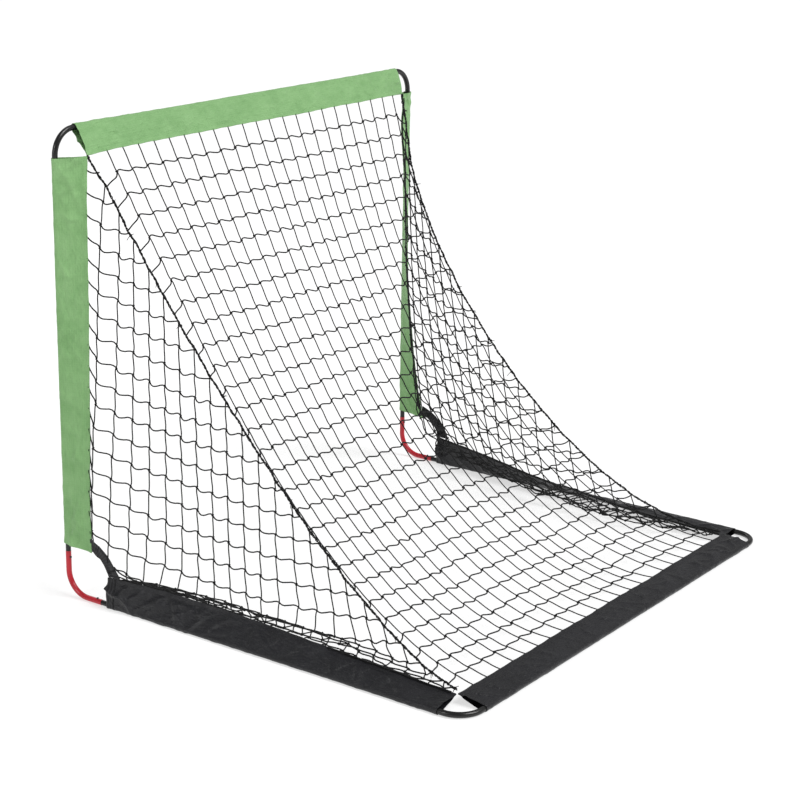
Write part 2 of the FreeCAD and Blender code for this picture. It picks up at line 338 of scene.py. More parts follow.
def cloth(name, shadow, base, pale, sheen, roughness, coating=0.0):
    """Coated polyester cloth: a plain weave, slubs, painted shade and highlight along the creases, and a
    soft sheen.
    """
    s = Shader(name)
    s.set(Sheen_Weight=sheen, Sheen_Roughness=0.45, Specular_IOR_Level=0.3, Coat_Weight=coating)
    s.set(Coat_Roughness=0.34)
    thread = 1 / 0.0009 / (2 * math.pi) * (math.pi / 10)  # a wave node's scale for 0.9 mm threads
    along = s.coordinates("UV", (1, 1, 1))
    warp = s.wave(along, thread, "X", 0.6)
    weft = s.wave(along, thread, "Y", 0.6)
    weave = s.maths("ADD", warp, weft)
    slubs = s.noise(s.coordinates("UV", (60, 900, 1)), 1.0, 2.0)
    mottle = s.noise(along, 14.0, 5.0, 0.62)
    creases = s.noise(s.coordinates("UV", (30, 75, 1), 24.0), 1.0, 5.0, 0.58)
    tone = s.maths("MULTIPLY", mottle, 0.6)
    # The weave also drives the colour: paler thread crowns as a painted highlight, darker gaps between
    # threads as a painted shade.
    blend = s.maths("ADD", tone, s.range(weave, 0.0, 0.06))
    blend = s.maths("ADD", blend, s.range(slubs, 0.0, 0.10))
    # The crease noise also drives the colour: paler on the crease ridges as a painted highlight, darker
    # in their hollows as a painted shade.
    blend = s.maths("ADD", blend, s.range(creases, -0.16, 0.16))
    colour = s.ramp(blend, [(0.24, shadow), (0.44, base), (0.74, pale)])
    normal = s.bump(creases, 0.010, 0.7)
    normal = s.bump(weave, 0.00012, 0.3, normal)
    return s.finish(colour, s.range(mottle, roughness - 0.08, roughness + 0.12), normal)


def twine(name, dark, light, pitch, roughness=0.78):
    """Twisted cord: lays winding round the strand, painted shade in the grooves between them, and a
    dusty, slightly uneven black.
    """
    s = Shader(name)
    s.set(Sheen_Weight=0.05, Sheen_Roughness=0.6, Specular_IOR_Level=0.2)
    lays = s.coordinates("UV", (1 / pitch, 2.0, 1), 45.0)
    twist = s.wave(lays, 0.35, "X", 0.8)
    fuzz = s.noise(s.coordinates("Object", (1, 1, 1)), 900.0, 3.0)
    dust = s.noise(s.coordinates("Object", (1, 1, 1)), 24.0, 4.0)
    # The colour follows the twist wave and is darker in the grooves between the lays: painted shade. The
    # dust noise adds random tone.
    colour = s.ramp(s.maths("MULTIPLY", dust, s.range(twist, 0.5, 1.0)), [(0.2, dark), (0.62, light)])
    normal = s.bump(twist, 0.0004, 0.6)
    normal = s.bump(fuzz, 0.0002, 0.35, normal)
    return s.finish(colour, s.range(dust, roughness - 0.1, roughness + 0.1), normal)


def tape():
    """Ribbed binding tape, with painted shade in the grooves between the ribs."""
    s = Shader("binding_tape")
    s.set(Sheen_Weight=0.3, Specular_IOR_Level=0.25)
    ribs = s.wave(s.coordinates("UV", (1, 1, 1)), 260.0 / 6.0, "X", 0.4)
    lint = s.noise(s.coordinates("Object", (1, 1, 1)), 300.0, 4.0)
    dark, light = (0.006, 0.006, 0.007), (0.028, 0.028, 0.031)
    # The colour follows the ribs and is darker in the grooves between them: painted shade. The lint adds
    # random tone.
    colour = s.ramp(s.maths("MULTIPLY", ribs, lint), [(0.1, dark), (0.7, light)])
    return s.finish(colour, s.range(lint, 0.7, 0.95), s.bump(ribs, 0.0005, 0.6))


def spring_steel():
    s = Shader("blued_spring_steel")
    s.set(Metallic=1.0)
    grain = s.noise(s.coordinates("Object", (1, 1, 1)), 420.0, 4.0)
    colour = s.ramp(grain, [(0.25, (0.23, 0.25, 0.30)), (0.7, (0.50, 0.52, 0.55))])
    return s.finish(colour, s.range(grain, 0.22, 0.45), s.bump(grain, 0.0001, 0.3))


BLACK_PAINT = paint(
    "black_powder_coat", (0.003, 0.003, 0.003), (0.006, 0.006, 0.006), (0.016, 0.016, 0.017)
)
RED_PAINT = paint("red_powder_coat", (0.36, 0.008, 0.018), (0.52, 0.014, 0.028), (0.62, 0.04, 0.05))
BUTTON_BLACK = paint("button_black", (0.012, 0.012, 0.013), (0.022, 0.022, 0.024), (0.12, 0.12, 0.12))
STEEL = spring_steel()
GREEN = cloth(
    "green_cloth", (0.165, 0.345, 0.125), (0.22, 0.42, 0.17), (0.285, 0.49, 0.225), 0.15, 0.6
)
BLACK_CLOTH = cloth(
    "black_cloth", (0.004, 0.004, 0.0055), (0.008, 0.008, 0.0105), (0.018, 0.018, 0.022),
    0.01, 0.36, 0.16,
)
TAPE = tape()
NETTING = twine("net_twine", (0.002, 0.002, 0.002), (0.009, 0.009, 0.010), 0.007)
LACING = twine("lacing_cord", (0.002, 0.002, 0.002), (0.008, 0.008, 0.009), 0.009)
GREEN_THREAD = twine("green_thread", (0.16, 0.36, 0.12), (0.36, 0.62, 0.3), 0.002, 0.6)
BLACK_THREAD = twine("black_thread", (0.012, 0.012, 0.013), (0.06, 0.06, 0.062), 0.002, 0.6)


def paint_frame():
    """Gives every CAD node that stays in view its finish."""
    for name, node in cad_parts.items():
        if name.startswith("front_elbow"):
            material = RED_PAINT
        elif name.startswith("button"):
            material = BUTTON_BLACK
        elif name.startswith("spring"):
            material = STEEL
        else:
            material = BLACK_PAINT
        for slot in node.material_slots:
            slot.material = material


# ---- Where the sewn edges are --------------------------------------------------------------

post, rail = centre("post_right"), centre("side_rail_right")
top_bar, rear_bar = centre("top_bar"), centre("rear_bar")
post_low, post_high = reach("post_sleeve_right", 2)
rail_front, rail_rear = reach("side_sleeve_right", 1)
top_reach = reach("top_sleeve", 0)[1]
rear_reach = reach("rear_sleeve", 0)[1]
top_flap = turned(Y, -Z, TOP_FLAP_ANGLE)
rear_flap = turned(-Y, Z, REAR_FLAP_ANGLE)


def twist(angles, share):
    """The angle at a share of a sleeve's length: the cubic through the four angles."""
    total = 0.0
    for i, angle in enumerate(angles):
        others = [k for k in range(4) if k != i]
        total = total + angle * math.prod((3 * np.asarray(share) - k) / (i - k) for k in others)
    return total


def post_flap(share, sign):
    """A post sleeve's flap direction, as it would be on the right side."""
    return turned(-X, Y, twist(POST_FLAP_ANGLES[sign], share))


def rail_flap(share, sign):
    """A side sleeve's flap direction, as it would be on the right side."""
    return turned(-X, Z, twist(RAIL_FLAP_ANGLES[sign], share))


def post_edge(z, sign):
    """A post sleeve's sewn edge at a height, as it would be on the right side."""
    share = (np.asarray(z) - post_low) / (post_high - post_low)
    axis = np.stack(np.broadcast_arrays(post[0], post[1], z), -1)
    return axis + post_flap(share, sign) * FLAP


def rail_edge(y, sign):
    """A side sleeve's sewn edge at a distance along the rail, as it would be on the right side."""
    share = (np.asarray(y) - rail_front) / (rail_rear - rail_front)
    axis = np.stack(np.broadcast_arrays(rail[0], y, rail[2]), -1)
    return axis + rail_flap(share, sign) * FLAP


def top_corner(sign):
    """Where the top sleeve's end and the post sleeve's end are sewn together."""
    top = np.array([top_reach, top_bar[1], top_bar[2]]) + top_flap * FLAP
    return mirrored((top + post_edge(post_high, sign)) / 2, sign)


def lacing_curve():
    """The line where the back net and the right side net are laced, by share of its length."""
    top = np.array([top_reach, top_bar[1], top_bar[2]]) + top_flap * FLAP
    rear = np.array([rear_reach, rear_bar[1], rear_bar[2]]) + rear_flap * FLAP
    start = top + np.array([-1, 1, -1]) * LACING_END
    end = rear + np.array([-1, -1, 1]) * LACING_END
    return even_curve(bezier([start, *LACING_BENDS, end], np.linspace(0, 1, 400)))


laced = lacing_curve()

# ---- Sleeves -------------------------------------------------------------------------------

hems = {}  # by sleeve: the line of its sewn edge, and the way out to one face


def sleeve_section(radius):
    """The cloth's path round the tube, from sewn edge to sewn edge, as (out, across, ease)."""
    seam, half_gap = FLAP - HEM, CLOTH_THICKNESS * 0.75
    turn = math.acos(radius / seam)
    hem = [(a, half_gap, 0.0) for a in np.linspace(FLAP, seam, 5)[:-1]]
    touch = np.array([radius * math.cos(turn), radius * math.sin(turn)])
    straight = [
        (*((1 - t) * np.array([seam, half_gap]) + t * touch), math.sin(math.pi * t) ** 0.6)
        for t in np.linspace(0, 1, 13)[:-1]
    ]
    angles = np.linspace(turn, math.pi, 9)
    round_half = [(radius * math.cos(a), radius * math.sin(a), 0.22) for a in angles]
    half = np.array(hem + straight + round_half)
    other = half[-2::-1] * np.array([1, -1, 1])
    return np.concatenate([half, other])


def ridged(points, seed, sharpness):
    """Crease lines: 1 along the zero lines of a noise, falling to 0 beside them."""
    return np.clip(1 - np.abs(noise_at(points, seed)) * sharpness, 0, 1) ** 2


def wrinkles(along, across, ends, seed, crinkle):
    """How far the cloth stands out of its plain shape: long folds, slanting creases, puckers."""
    flat = np.stack([along, across, np.zeros_like(along)], -1)
    gathered = 0.55 + END_GATHER * np.exp(-ends / END_REACH)
    gathered = gathered + crinkle * np.exp(-((along / FRONT_REACH) ** 2))
    height, rate = LONG_FOLDS
    long_folds = noise_at(flat * np.array(rate), seed) * height
    height, rate = DOWN_CREASES
    creases = ridged(flat @ DOWN_SLANT * np.array(rate), seed + 3, DOWN_SHARPNESS) * height
    height, rate = UP_CREASES
    creases += ridged(flat @ UP_SLANT * np.array(rate), seed + 5, UP_SHARPNESS) * height
    height, rate = SMALL_CREASES
    small = noise_at(flat * np.array(rate), seed + 7) * height
    return long_folds + (creases + small) * gathered


def outward(section):
    """The section's outward normals, as (out, across)."""
    step = np.gradient(section[:, :2], axis=0)
    normal = unit(np.stack([-step[:, 1], step[:, 0]], -1))
    return normal * np.where((normal * section[:, :2]).sum(1) < 0, -1, 1)[:, None]


def pulled(points, section, ends, corner_pulls):
    """Draws the sewn edge's two corners by the given shifts, less and less along the sleeve."""
    edge = np.clip(section[:, 0] / FLAP, 0, 1) ** 2
    for end, shift in zip(ends, corner_pulls):
        weight = np.exp(-((end / 0.06) ** 2))[:, None] * edge[None]
        points = points + weight[..., None] * np.asarray(shift, float)
    return points


def over_button(points, node):
    """Raises the cloth over a snap button that faces the back."""
    low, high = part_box(node)
    middle = (low + high) / 2
    away = np.hypot(points[..., 0] - middle.x, points[..., 2] - middle.z)
    share = np.clip((0.014 - away) / 0.010, 0, 1)
    share = share * share * (3 - 2 * share) * (points[..., 1] > middle.y)
    raised = points[..., 1] + (high.y + 0.0010 - points[..., 1]) * share
    points[..., 1] = np.maximum(points[..., 1], raised)
    return points


def sleeve_surface(start, end, radius, flap_at, seed, corner_pulls, crinkle):
    """The cloth's points, as a grid along the sleeve and round its section."""
    start, end = np.array(start), np.array(end)
    length = np.linalg.norm(end - start)
    share = np.linspace(0, 1, int(length / ALONG_STEP))
    section = sleeve_section(radius)
    run = np.concatenate([[0], np.cumsum(np.linalg.norm(np.diff(section[:, :2], axis=0), axis=1))])
    along, across = np.meshgrid(share * length, run, indexing="ij")
    nearest_end = np.minimum(along, length - along)
    lift = wrinkles(along, across, nearest_end, seed, crinkle)
    lift += 0.0018 * np.exp(-nearest_end / 0.02)
    lift = np.maximum(lift * section[:, 2], -0.55 * np.maximum(np.abs(section[:, 1]), 0.0005))
    lift = np.where(section[:, 2] < 0.25, np.maximum(lift, -0.0007), lift)
    puckers = noise_at(np.stack([along * 70, across * 0 + seed, along * 0], -1), seed + 11)
    lift += puckers * np.exp(-(((section[:, 0] - FLAP + HEM) / 0.010) ** 2)) * 0.0008
    lift += 0.0004 * (nearest_end < 0.009)
    normal = outward(section)
    out = section[:, 0] + lift * normal[:, 0]
    wide = section[:, 1] + lift * normal[:, 1]
    edge = np.clip((section[:, 0] - 0.5 * FLAP) / (0.5 * FLAP), 0, 1)
    line = np.stack([along, along * 0, along * 0], -1)
    scallops = 0.0004 * np.cos(2 * np.pi * along / 0.0536)  # the net draws the edge at its mesh
    out = out + (scallops + 0.0016 * noise_at(line * 7, seed + 13)) * edge
    sway = noise_at(line * 6 + 4, seed + 17) * 0.0030 + noise_at(line * 21, seed + 19) * 0.0012
    wide = wide + sway * edge
    flap = np.broadcast_to(flap_at(share), (len(share), 3))
    cross = np.cross((end - start) / length, flap)
    centreline = start + share[:, None] * (end - start)
    points = centreline[:, None] + out[..., None] * flap[:, None] + wide[..., None] * cross[:, None]
    points = pulled(points, section, (share * length, (1 - share) * length), corner_pulls)
    points[..., 2] = np.maximum(points[..., 2], CLOTH_THICKNESS)
    return points, np.stack([along, across], -1)


def stitches(name, line, lift, material):
    """Two rows of thread, one on each face of a hem, dipping into the cloth at each hole."""
    share = np.arange(0, 1, STITCH_PITCH / np.linalg.norm(np.diff(line, axis=0), axis=1).sum())
    curve = even_curve(line)
    steps = np.linspace(0, 0.74, 5)
    step = share[1] - share[0]
    parts = []
    for face in (1, -1):
        height = np.sin(np.pi * np.linspace(0, 1, 5)) * 0.00035 - 0.0001
        paths = curve(share[:-1, None] + steps * step)
        offset = even_curve(line + lift * face)(share[:-1, None] + steps * step) - paths
        paths = paths + offset + unit(offset) * height[None, :, None]
        parts.append(sweep(paths, [0.0001, 0.00026, 0.0003, 0.00026, 0.0001], 4))
    return joined(name, parts, material)


def thickened(piece, thickness, levels):
    """Gives a sheet its thickness and rounds its facets."""
    solid = piece.modifiers.new("thickness", "SOLIDIFY")
    solid.thickness = thickness
    solid.offset = 0.0
    smooth = piece.modifiers.new("smooth", "SUBSURF")
    smooth.levels = smooth.render_levels = levels


def end_binding(name, points, uvs):
    """Binding tape folded round the first end of a sleeve, inside and out."""
    rows, columns = 5, points.shape[1]
    around = unit(np.gradient(points[:rows], axis=1))
    along = unit(np.gradient(points[:rows], axis=0))
    lifted = points[:rows] + np.cross(along, around) * OUTWARDS * 0.0009
    lifted[..., 2] = np.maximum(lifted[..., 2], 0.0003)
    quads, places = grid_faces(rows, columns, False)
    corner_uvs = uvs[places[..., 0], places[..., 1]]
    piece = make_piece(name + "_binding", lifted.reshape(-1, 3), [quads], corner_uvs, TAPE)
    thickened(piece, 0.0006, 1)
    return dressed(piece, "binding")


def sleeve(name, ends, radius, flap_at, corner_pulls, seed, finish, buttons=()):
    """A cloth loop round a tube, with its hem stitched."""
    material, thread, slot = finish
    crinkle = SIDE_CRINKLE if name.startswith("side") else 0.0
    points, uvs = sleeve_surface(*ends, radius, flap_at, seed, corner_pulls, crinkle)
    for button in buttons:
        points = over_button(points, button)
    rows, columns = points.shape[:2]
    quads, places = grid_faces(rows, columns, False)
    corner_uvs = uvs[places[..., 0], places[..., 1]]
    piece = make_piece(name + "_cloth", points.reshape(-1, 3), [quads], corner_uvs, material)
    thickened(piece, CLOTH_THICKNESS, 1)
    dressed(piece, slot, name)
    hems[name] = seam(points, 1)
    line, lift = seam(points, 4)
    details = [dressed(stitches(name + "_stitching", line, lift, thread), slot)]
    if name.startswith("side"):
        details.append(end_binding(name, points, uvs))
    width = np.linalg.norm(np.diff(sleeve_section(radius)[:, :2], axis=0), axis=1).sum()
    length = np.linalg.norm(np.subtract(ends[1], ends[0]))


def seam(points, column):
    """The line midway between the cloth's two layers at a column, and the way out to a face."""
    one, other = points[:, column], points[:, points.shape[1] - 1 - column]
    lift = (one - other) / 2
    return (one + other) / 2, lift + unit(lift) * CLOTH_THICKNESS / 2


def make_sleeves():
    green = (GREEN, GREEN_THREAD, "green_cloth")
    black = (BLACK_CLOTH, BLACK_THREAD, "black_cloth")
    top = [np.array([sign * top_reach, top_bar[1], top_bar[2]]) for sign in (-1, 1)]
    rear = [np.array([sign * rear_reach, rear_bar[1], rear_bar[2]]) for sign in (-1, 1)]
    top_pulls = [top_corner(sign) - (end + top_flap * FLAP) for sign, end in zip((-1, 1), top)]
    none = np.zeros(3)
    sleeve("top_sleeve", top, MOUTH_LOOP_RADIUS, lambda s: top_flap, top_pulls, 1,
           green)
    sleeve("rear_sleeve", rear, BASE_LOOP_RADIUS, lambda s: rear_flap, (none, none),
           2, black)
    for number, (side, sign) in enumerate(SIDES):
        x = sign * post[0]
        posts = (x, post[1], post_low), (x, post[1], post_high)
        rails = (x, rail_front, rail[2]), (x, rail_rear, rail[2])
        high_pull = top_corner(sign) - mirrored(post_edge(post_high, sign), sign)
        sleeve(f"post_sleeve_{side}", posts, MOUTH_LOOP_RADIUS,
               lambda s: mirrored(post_flap(s, sign), sign), (POST_LOW_PULL, high_pull),
               3 + number, green, [f"button_top_{side}_post"])
        sleeve(f"side_sleeve_{side}", rails, BASE_LOOP_RADIUS,
               lambda s: mirrored(rail_flap(s, sign), sign), (none, none), 5 + number, black)


# ---- Nets ----------------------------------------------------------------------------------


class Net:
    """Knots joined by strands that can go slack but hardly stretch."""

    def __init__(self, seed):
        self.points, self.fixed, self.strands = [], [], []
        self.random = np.random.default_rng(seed)

    def knot(self, point, fixed=False):
        self.points.append(np.asarray(point, float))
        self.fixed.append(fixed)
        return len(self.points) - 1

    def strand(self, a, b, rest, kind):
        self.strands.append((a, b, rest, kind))

    def settle(self, steps, keep_out):
        """Lets the net hang: each step falls a little, then draws strands back to length."""
        points, fixed = np.array(self.points), np.array(self.fixed)
        ends = np.array([s[:2] for s in self.strands])
        rest = np.array([s[2] for s in self.strands])
        rest = rest * self.random.uniform(0.985, 1.02, len(rest))
        weight = np.where(fixed, 0.0, 1.0)
        share = weight[ends] / np.maximum(weight[ends].sum(1, keepdims=True), 1)
        count = np.zeros(len(points))
        np.add.at(count, ends.ravel(), 1)
        before = points.copy()
        for _ in range(steps):
            speed = (points - before) * DRAG
            before = points.copy()
            points = points + (speed - Z * FALL) * weight[:, None]
            for _ in range(CORRECTIONS):
                gap = points[ends[:, 1]] - points[ends[:, 0]]
                length = np.maximum(np.linalg.norm(gap, axis=1), 1e-9)
                error = np.maximum(length - rest, 0) + np.minimum(length - rest * LEAST_SHARE, 0)
                push = gap * (error / length)[:, None]
                change = np.zeros_like(points)
                np.add.at(change, ends[:, 0], push * share[:, :1])
                np.add.at(change, ends[:, 1], -push * share[:, 1:])
                points = points + change * (GAIN / np.maximum(count, 1))[:, None] * weight[:, None]
            points = np.where(fixed[:, None], points, keep_out(points))
        self.points, self.ends, self.rest, self.fixed = points, ends, rest, fixed
        self.kinds = np.array([s[3] for s in self.strands])

    def strand_paths(self, kind, shown, keep_out):
        """Each strand of a kind as a curve that sags by the shown share of its slack."""
        chosen = self.kinds == kind
        ends, rest = self.ends[chosen], self.rest[chosen]
        a, b = self.points[ends[:, 0]], self.points[ends[:, 1]]
        chord = np.linalg.norm(b - a, axis=1)
        rest = chord + np.maximum(rest - chord, chord * 0.004) * shown
        t = np.array(STRAND_STEPS)[None, :, None]
        paths = a[:, None] * (1 - t) + b[:, None] * t
        way = (b - a) / chord[:, None]
        droop = -Z + way * way[:, 2:]
        side = self.random.normal(0, 1, way.shape)
        side -= way * (side * way).sum(1, keepdims=True)
        droop = droop + side * (0.12 + 0.3 * (1 - np.linalg.norm(droop, axis=1, keepdims=True)))
        depth = chord * np.sqrt(0.375 * (rest / chord - 1))
        skew = self.random.uniform(-0.4, 0.4, (len(a), 1, 1))
        bow = 4 * t * (1 - t) * (1 + skew * np.cos(np.pi * t))
        paths = paths + bow * (droop * depth[:, None])[:, None]
        turn = 2 * np.pi * t
        wave = (np.sin(turn) + 0.2 * np.sin(2 * turn)) / 1.04
        tilt = self.tilts[kind]
        amount = np.minimum(1, chord / 0.03)[:, None]
        tilt_a, tilt_b = tilt[ends[:, 0]] * amount, tilt[ends[:, 1]] * amount
        paths = paths - wave * (tilt_a[:, None] * (1 - t) + tilt_b[:, None] * t)
        paths[:, 1:-1] = keep_out(paths[:, 1:-1])
        return paths

    def tilt_knots(self):
        """How each knot's turn shifts its strands: a row comes in above it and leaves below it."""
        ways = {}
        for kind in ("row", "column"):
            first, last = self.ends[self.kinds == kind].T
            way = np.zeros_like(self.points)
            np.add.at(way, first, self.points[last] - self.points[first])
            np.add.at(way, last, self.points[last] - self.points[first])
            ways[kind] = unit(way)
        size = self.random.uniform(0.6, 1.25, (2, len(self.points), 1)) * ~self.fixed[None, :, None]
        self.up, self.across = -ways["column"], ways["row"]
        self.tilts = {
            "row": self.up * size[0] * ROW_TILT,
            "column": self.across * (size[1] - 0.5) * COLUMN_TILT,
        }


def knots(net):
    """A turn of twine round each crossing, slanting across it."""
    free = np.flatnonzero(~net.fixed)
    up = net.up[free]
    beside = unit(np.cross(up, net.across[free]))
    across = np.cross(beside, up)
    angle = (np.arange(8) * np.pi / 4)[None, :, None]
    size = net.random.uniform(0.0018, 0.0024, (len(free), 1, 1))
    slant = net.random.choice([-1.0, 1.0], (len(free), 1, 1)) * 0.8
    ring = np.cos(angle) * beside[:, None] + np.sin(angle) * (across[:, None] + slant * up[:, None])
    paths = net.points[free][:, None] + ring * size
    return sweep(paths, ROW_RADIUS * 0.85, 5, closed=True, reference=up)


def net_piece(net, name, column_radius, shown, keep_out, selvedges=()):
    """The mesh of a settled net."""
    net.tilt_knots()
    rows = net.strand_paths("row", shown, keep_out)
    columns = net.strand_paths("column", shown, keep_out)
    sweeps = [sweep(rows, ROW_RADIUS, 5), sweep(columns, column_radius, 5), knots(net)]
    sweeps += [sweep(line[None], ROW_RADIUS, 6) for line in selvedges]
    return dressed(joined(name + "_twine", sweeps, NETTING), "netting", name)


def back_net():
    """Square mesh from the top sleeve to the rear sleeve, laced to the side nets."""
    net = Net(11)
    at = {}
    for i in range(BACK_ROWS + 1):
        share = i / BACK_ROWS
        laced_at = min(share + 0.45 / BACK_ROWS, 1.0) if 0 < i < BACK_ROWS else share
        right = laced(laced_at)
        middle = laced(share)
        for j in range(BACK_COLUMNS + 1):
            across = 2 * j / BACK_COLUMNS - 1
            edge = j in (0, BACK_COLUMNS)
            if i in (0, BACK_ROWS) and edge:
                continue
            if i == 0:
                point = at_hem("top_sleeve", 0, across * laced(0)[0])
            elif i == BACK_ROWS:
                point = at_hem("rear_sleeve", 0, across * laced(1)[0])
            elif edge:
                point = mirrored(right, across)
            else:
                sag = 0.012 * (1 - across**2)
                point = np.array([across * middle[0], middle[1] - sag, middle[2] - sag])
            at[i, j] = net.knot(point, fixed=edge or i in (0, BACK_ROWS))
    for (i, j), knot in at.items():
        spacing = 2 * laced(i / BACK_ROWS)[0] / BACK_COLUMNS
        slack = 1.02 + 0.03 * math.sin(math.pi * i / BACK_ROWS)
        if 0 < i < BACK_ROWS and (i, j + 1) in at:
            edge_extra = 0.005 if j in (0, BACK_COLUMNS - 1) else 0.0
            net.strand(knot, at[i, j + 1], spacing * slack + edge_extra, "row")
        if 0 < j < BACK_COLUMNS and (i + 1, j) in at:
            net.strand(knot, at[i + 1, j], COLUMN_LENGTH / BACK_ROWS, "column")
    net.settle(BACK_SETTLE, above_floor)
    return net_piece(net, "back_net", BACK_COLUMN_RADIUS, 0.12, above_floor)


def above_floor(points):
    return np.concatenate([points[..., :2], np.maximum(points[..., 2:], FLOOR_CLEAR)], -1)


def inside_goal(sign):
    """Keeps a side net inside the side sleeve, where its folds pile up behind the hem."""

    def keep_out(points):
        points = above_floor(points)
        edge = rail_edge(np.clip(points[..., 1], rail_front, rail_rear), sign)
        behind = edge[..., 0] - points[..., 0] * sign
        pile = edge[..., 2] * np.clip(1 - behind / PILE_REACH, 0, 1)
        height = np.maximum(points[..., 2], np.where(behind > 0, pile, 0))
        limit = np.where(height < edge[..., 2] + 0.002, edge[..., 0] - 0.003, 9.0)
        limit = np.where(points[..., 1] < post[1] + FLAP + 0.004, 9.0, limit)
        return np.stack([np.minimum(points[..., 0] * sign, limit) * sign, points[..., 1], height], -1)

    return keep_out


def band_edges(sign):
    """A corner band's lower and upper edges, each as start, middle and end, as on the right."""
    low, front = post_edge(post_low, sign), rail_edge(rail_front, sign)
    clear = 0.001
    x = post[0]
    ends = (
        ((x, low[1] + clear, low[2]), (x, front[1] + clear, front[2] + clear)),
        ((x, low[1] + clear, low[2] + BAND_WIDTH), (x, front[1] + BAND_REACH, front[2] + clear)),
    )
    edges = []
    for start, end in np.array(ends):
        chord = end - start
        edges.append((start, (start + end) / 2 + np.array([0, -chord[2], chord[1]]) * BAND_BOW, end))
    return edges


def arc(start, middle, end, count):
    """Points on the parabola through three points, close to the arc through them."""
    t = np.linspace(0, 1, count)[:, None]
    pole = 2 * middle - (start + end) / 2
    return (1 - t) ** 2 * start + 2 * (1 - t) * t * pole + t**2 * end


def selvedge(name, seed):
    """A cord along a sleeve's sewn edge, on the face that looks into the goal."""
    line, lift = hems[name]
    inner = np.where(((np.array([0, 0, 0.4]) - line) * lift).sum(1, keepdims=True) > 0, 1, -1)
    wander = noise_at(line * 24, seed)[:, None]
    return (line + inner * (lift + unit(lift) * (ROW_RADIUS + 0.0004 + 0.0006 * wander)))[2:-2]


def at_hem(name, axis, value):
    """The point on a made sleeve's sewn edge where one of its coordinates has a value."""
    line = hems[name][0]
    return np.stack([np.interp(value, line[:, axis], line[:, k]) for k in range(3)], -1)


class SideGrid:
    """Where a side net's rows and columns start, as on the right side."""

    def __init__(self, side, sign):
        self.side, self.sign = side, sign
        self.top, self.front = post_high, float(post_edge(post_high, 1)[1])
        self.low, self.rear = rail[2] + 0.045, float(rail_edge(rail_rear, 1)[1])
        row_pitch, column_pitch = SIDE_ROW_PITCH * 0.95, SIDE_COLUMN_PITCH * 0.95
        upper = np.arange(self.top - row_pitch * 0.55, self.low + 0.10, -row_pitch)
        self.heights = np.concatenate([upper, self.low + np.array([0.080, 0.055, 0.032, 0.010])])
        self.lengths = np.arange(self.rear - column_pitch * 0.6, self.front + 0.02, -column_pitch)[::-1]
        self.down = (self.top - self.heights) / (self.top - self.low)
        self.back = (self.lengths - self.front) / (self.rear - self.front)
        self.band = band_edges(sign)[1]
        self.band_curve = arc(*self.band, 40)

    def inside(self, k, m):
        """Whether a knot belongs between the lacing and the corner band."""
        start, _, end = self.band
        y, z = self.lengths[m], self.heights[k]
        corner = (y - start[1]) / (end[1] - start[1]) + (z - end[2]) / (start[2] - end[2])
        return self.back[m] < self.down[k] - 0.012 and corner > 1.25

    def row_start(self, z):
        if z > self.band[0][2] + 0.004:
            return mirrored(at_hem(f"post_sleeve_{self.side}", 2, z), self.sign)
        return self.band_curve[np.argmin(np.abs(self.band_curve[:, 2] - z))]

    def column_end(self, y):
        if y > self.band[2][1] + 0.004:
            return mirrored(at_hem(f"side_sleeve_{self.side}", 1, y), self.sign)
        return self.band_curve[np.argmin(np.abs(self.band_curve[:, 1] - y))]


def side_net(side, sign, seed):
    """Square mesh in the corner between post, rail and lacing, slack enough to hang in folds."""
    net, grid = Net(seed), SideGrid(side, sign)
    keep_out = inside_goal(sign)
    at = {}
    for k, z in enumerate(grid.heights):
        for m in range(len(grid.lengths)):
            if grid.inside(k, m):
                start, seam = post_edge(z, sign), laced(grid.down[k])
                point = start + (seam - start) * grid.back[m] / grid.down[k]
                at[k, m] = net.knot(mirrored(point, sign))

    def fix(point):
        return net.knot(mirrored(point, sign), fixed=True)

    def thread(first, knots_between, last, pitch, kind, slack):
        """One strand through its knots, from a fixed end to a fixed end."""
        chain = [fix(first), *knots_between, fix(last)]
        places = np.array([net.points[k] for k in chain])
        gaps = np.linalg.norm(np.diff(places, axis=0), axis=1)
        for number, (a, b) in enumerate(zip(chain, chain[1:])):
            outer = number in (0, len(chain) - 2)
            net.strand(a, b, gaps[number] * slack[number > 0] + 0.004 if outer else pitch, kind)

    for k, z in enumerate(grid.heights):
        row = [at[k, m] for m in range(len(grid.lengths)) if (k, m) in at]
        thread(grid.row_start(z), row, laced(grid.down[k]), SIDE_COLUMN_PITCH, "row", (1.03, 1.08))
    for m, y in enumerate(grid.lengths):
        column = [at[k, m] for k in range(len(grid.heights)) if (k, m) in at]
        thread(laced(grid.back[m]), column, grid.column_end(y), SIDE_ROW_PITCH, "column", (1.1, 1.12))
    net.settle(SIDE_SETTLE, keep_out)
    selvedges = [selvedge(f"post_sleeve_{side}", seed), selvedge(f"side_sleeve_{side}", seed + 1)]
    return net_piece(net, f"side_net_{side}", SIDE_COLUMN_RADIUS, 0.3, keep_out, selvedges)


# ---- Lacing and corner bands ---------------------------------------------------------------


